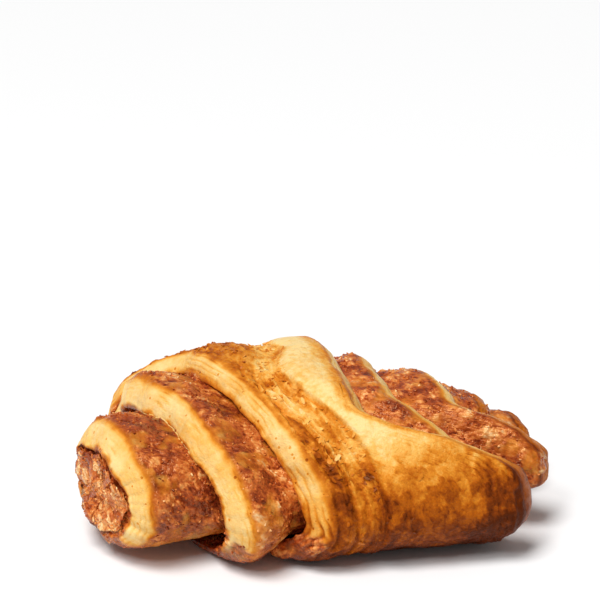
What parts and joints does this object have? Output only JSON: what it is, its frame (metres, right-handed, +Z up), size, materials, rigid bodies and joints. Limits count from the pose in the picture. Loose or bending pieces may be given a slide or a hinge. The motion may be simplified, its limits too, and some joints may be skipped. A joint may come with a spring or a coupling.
{
  "type": "cinnamon pastry",
  "caption": "Pressed cinnamon roll pastry of laminated dough, its spiral turns fanned out at both cut ends, lying on a flat underside.",
  "frame": {"origin": "under the middle of the pastry's bounding box, on the surface that it lies on", "axes": "+X along the pastry, from the fan with the large rolled core to the fan with the small one; -Y is the front side; +Z up"},
  "size_m": [0.1276, 0.0926, 0.0456],
  "materials": {
    "baked_dough": "golden baked laminated dough, satin crust"
  },
  "bodies": {
    "root": {"cinnamon_pastry": "baked_dough"}
  },
  "joints": []
}
